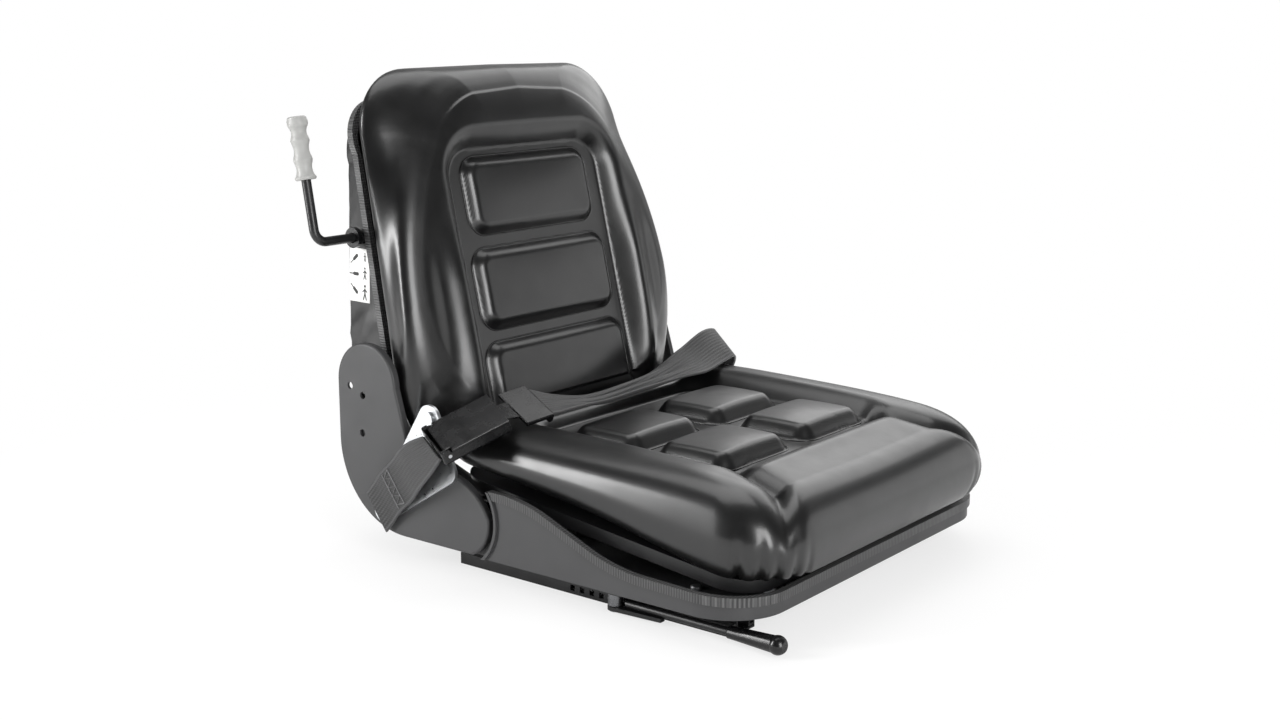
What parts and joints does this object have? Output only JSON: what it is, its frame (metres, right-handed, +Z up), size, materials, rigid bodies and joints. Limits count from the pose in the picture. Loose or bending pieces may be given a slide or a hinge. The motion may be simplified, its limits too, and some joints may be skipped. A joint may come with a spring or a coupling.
{
  "type": "suspension seat",
  "caption": "Compact suspension seat: sprung shell hinged at the front of a pressed pan, weight lever, slide rails and lap belt.",
  "frame": {"origin": "centre of the four floor fixing holes, on the underside of the lower rails", "axes": "+Z up, the sitter looks along -Y, +X is the sitter's left"},
  "size_m": [0.5376, 0.588, 0.514],
  "materials": {
    "black_paint": "satin",
    "grey_paint": "matt",
    "zinc_steel": "satin",
    "bright_steel": "polished",
    "grey_rubber": "matt",
    "black_rubber": "matt",
    "black_vinyl": "glossy",
    "black_plastic": "satin",
    "lever_grip_plastic": "satin",
    "label_film": "matt",
    "webbing": "woven"
  },
  "bodies": {
    "base_rails": {"lower_rail_right": "black_paint", "lower_rail_left": "black_paint"},
    "ball_train": {"rail_balls": "bright_steel"},
    "carriage": {"upper_rail_right": "black_paint", "upper_rail_left": "black_paint", "rail_riser_right": "black_paint", "rail_riser_left": "black_paint", "rail_screws": "zinc_steel", "base_pan": "grey_paint", "pan_edge_trim": "grey_rubber", "side_plate_right": "grey_paint", "side_plate_left": "grey_paint", "side_plate_screws": "zinc_steel", "hinge_brackets": "black_paint", "hinge_pin": "zinc_steel", "latch_bracket": "black_paint", "latch_pin": "zinc_steel", "rebound_hooks": "black_paint", "bump_stop_right": "black_rubber", "bump_stop_left": "black_rubber", "belt_anchor_right": "zinc_steel", "belt_anchor_left": "zinc_steel", "belt_bolts": "zinc_steel", "belt_tab": "webbing", "buckle_body": "black_plastic", "buckle_pin": "zinc_steel", "belt_tongue": "black_plastic", "lap_webbing": "webbing"},
    "rail_lever": {"latch_plate": "black_paint", "release_rod": "black_paint", "release_grip": "black_plastic", "latch_spring": "zinc_steel"},
    "shell": {"hinge_ears": "black_paint", "seat_board": "black_paint", "back_board": "black_paint", "shell_bracket_right": "black_paint", "shell_bracket_left": "black_paint", "rebound_sleeves": "black_rubber", "arm_shaft": "zinc_steel", "seat_cushion": "black_vinyl", "back_cushion": "black_vinyl", "back_cover": "black_vinyl", "cover_edge_trim": "black_rubber", "instruction_label": "label_film", "lever_eyelet": "black_plastic", "lever_bearings": "black_paint", "tension_spring_right": "zinc_steel", "tension_spring_left": "zinc_steel"},
    "swing_arm_frame": {"swing_arms": "black_paint", "roller_axle": "zinc_steel", "spring_bar": "zinc_steel"},
    "arm_rollers": {"arm_roller_right": "black_plastic", "arm_roller_left": "black_plastic"},
    "weight_lever": {"weight_lever_rod": "black_paint", "weight_lever_grip": "lever_grip_plastic", "spring_hanger": "black_paint"},
    "buckle_lift": {"buckle_cover": "black_plastic"}
  },
  "joints": [
    {"name": "seat_slide", "type": "slide", "parent": "base_rails", "child": "carriage", "axis": [0, 1, 0], "range_m": [-0.075, 0.075]},
    {"name": "ball_roll", "type": "slide", "parent": "base_rails", "child": "ball_train", "axis": [0, 1, 0], "range_m": [-0.0376, 0.0376]},
    {"name": "rail_release", "type": "hinge", "parent": "carriage", "child": "rail_lever", "pos_m": [-0.209, -0.045, 0.006], "axis": [0, 0, -1], "range_deg": [0, 7], "stiffness_Nm_per_rad": 6, "springref_deg": -6.88},
    {"name": "suspension", "type": "hinge", "parent": "carriage", "child": "shell", "pos_m": [0, -0.19, 0.043], "axis": [-1, 0, 0], "range_deg": [0, 5.3], "stiffness_Nm_per_rad": 1500, "springref_deg": -2.86, "deforming": ["tension_spring_right", "tension_spring_left"]},
    {"name": "arm_swing", "type": "hinge", "parent": "shell", "child": "swing_arm_frame", "pos_m": [0, 0.28, 0.092], "axis": [-1, 0, 0], "range_deg": [0, 18.1]},
    {"name": "roller_turn", "type": "hinge", "parent": "swing_arm_frame", "child": "arm_rollers", "pos_m": [0, 0.173, 0.0479], "axis": [1, 0, 0], "continuous": true},
    {"name": "weight_adjust", "type": "hinge", "parent": "shell", "child": "weight_lever", "pos_m": [0, 0.312, 0.337], "axis": [1, 0, 0], "range_deg": [0, 90]},
    {"name": "buckle_flap", "type": "hinge", "parent": "carriage", "child": "buckle_lift", "pos_m": [-0.26385, 0.13543, 0.15155], "axis": [-0.3832, -0.8851, -0.264], "range_deg": [0, 45], "stiffness_Nm_per_rad": 0.15, "springref_deg": -20.05}
  ],
  "couplings": [
    {"joint": "ball_roll", "follows": "seat_slide", "ratio": 0.5},
    {"joint": "arm_swing", "follows": "suspension", "ratio": 3.39}
  ]
}
